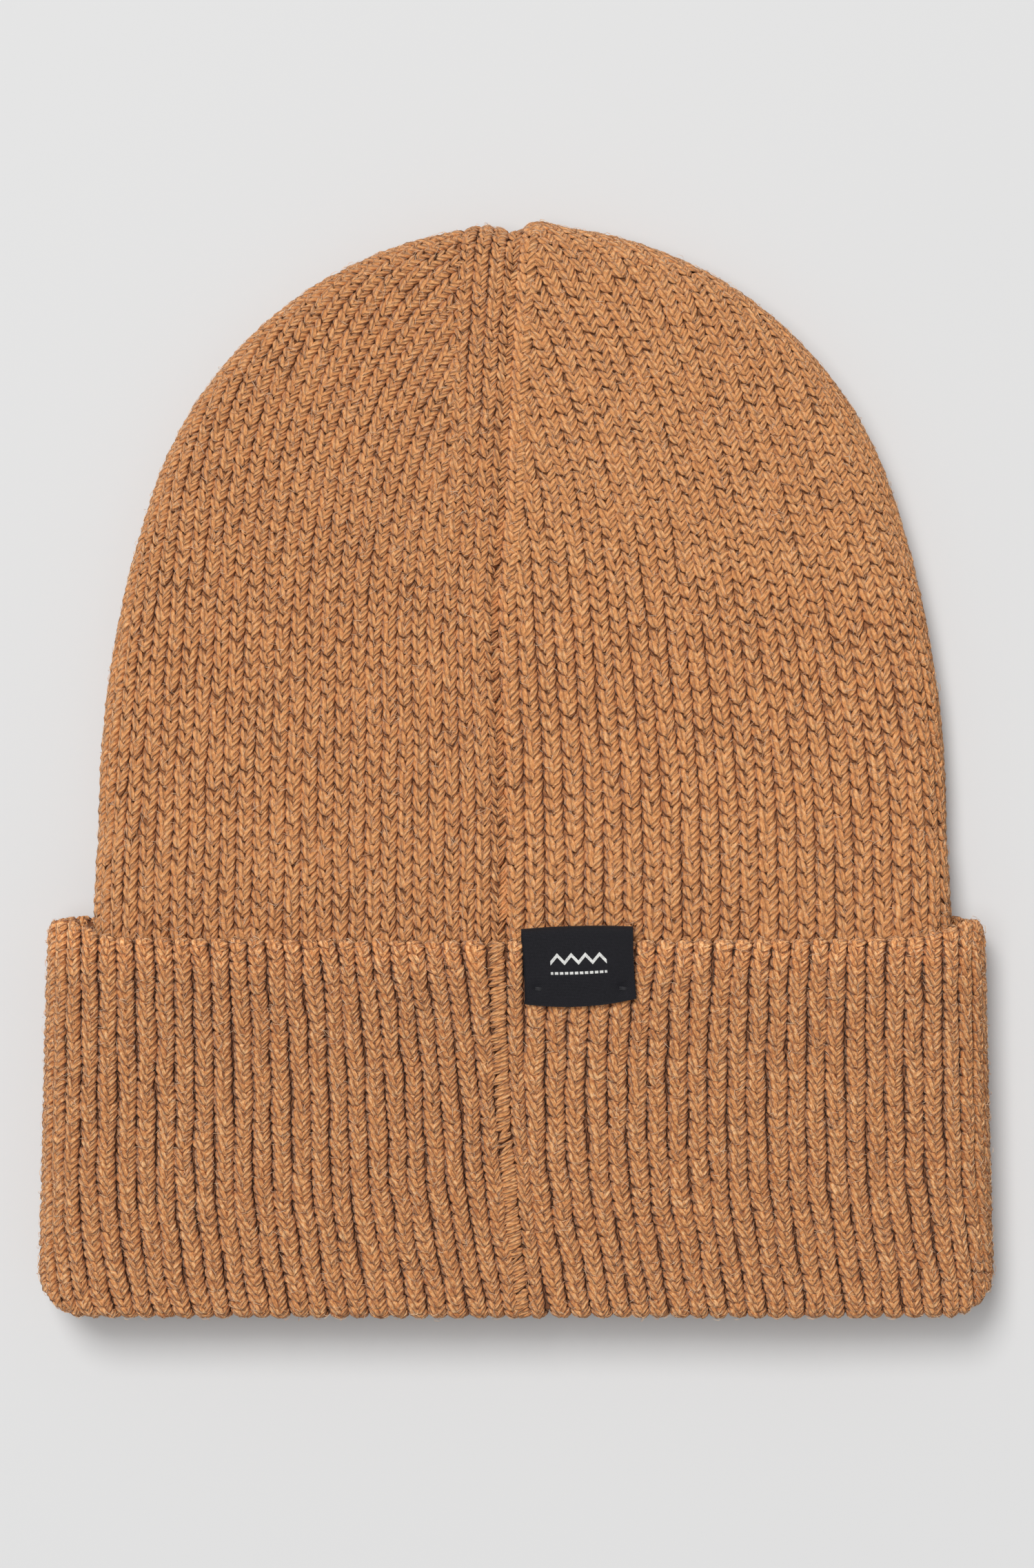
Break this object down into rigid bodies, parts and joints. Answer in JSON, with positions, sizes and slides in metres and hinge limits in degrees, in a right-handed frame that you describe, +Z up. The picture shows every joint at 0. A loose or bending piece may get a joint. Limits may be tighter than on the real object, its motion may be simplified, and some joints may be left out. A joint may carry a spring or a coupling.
{
  "type": "cuffed knit beanie",
  "caption": "Rib-knit beanie with a turned-up cuff, back seam and folded woven loop label, lying flat, back upwards.",
  "frame": {"origin": "middle of the flat hat's outline, on the surface that it lies on", "axes": "+Z up through the flat hat, from its front to its back; +Y from the brim to the tip of the crown; +X to the right seen from above"},
  "size_m": [0.2104, 0.2396, 0.0249],
  "materials": {
    "crown_knit": "soft heathered chunky yarn",
    "cuff_knit": "soft heathered chunky yarn, 1x1 rib",
    "seam_yarn": "the same yarn, linked",
    "woven_label": "fine woven, slight sheen",
    "label_thread": "matte sewing thread",
    "care_label_satin": "satin tape",
    "sewing_thread": "matte sewing thread"
  },
  "bodies": {
    "crown": {"crown_left_panel": "crown_knit", "crown_right_panel": "crown_knit", "crown_closure": "crown_knit", "crown_back_seam": "seam_yarn", "inner_band": "crown_knit", "seam_allowance": "seam_yarn", "care_label": "care_label_satin", "care_label_stitches": "sewing_thread"},
    "cuff": {"cuff_welt": "cuff_knit", "cuff_band": "cuff_knit", "cuff_back_seam": "seam_yarn", "brim_fold": "cuff_knit", "loop_label": "woven_label", "label_tack_left": "label_thread", "label_tack_right": "label_thread"}
  },
  "joints": [
    {"name": "cuff_turn_down", "type": "slide", "parent": "crown", "child": "cuff", "axis": [0, -1, 0], "range_m": [0, 0.072]}
  ]
}
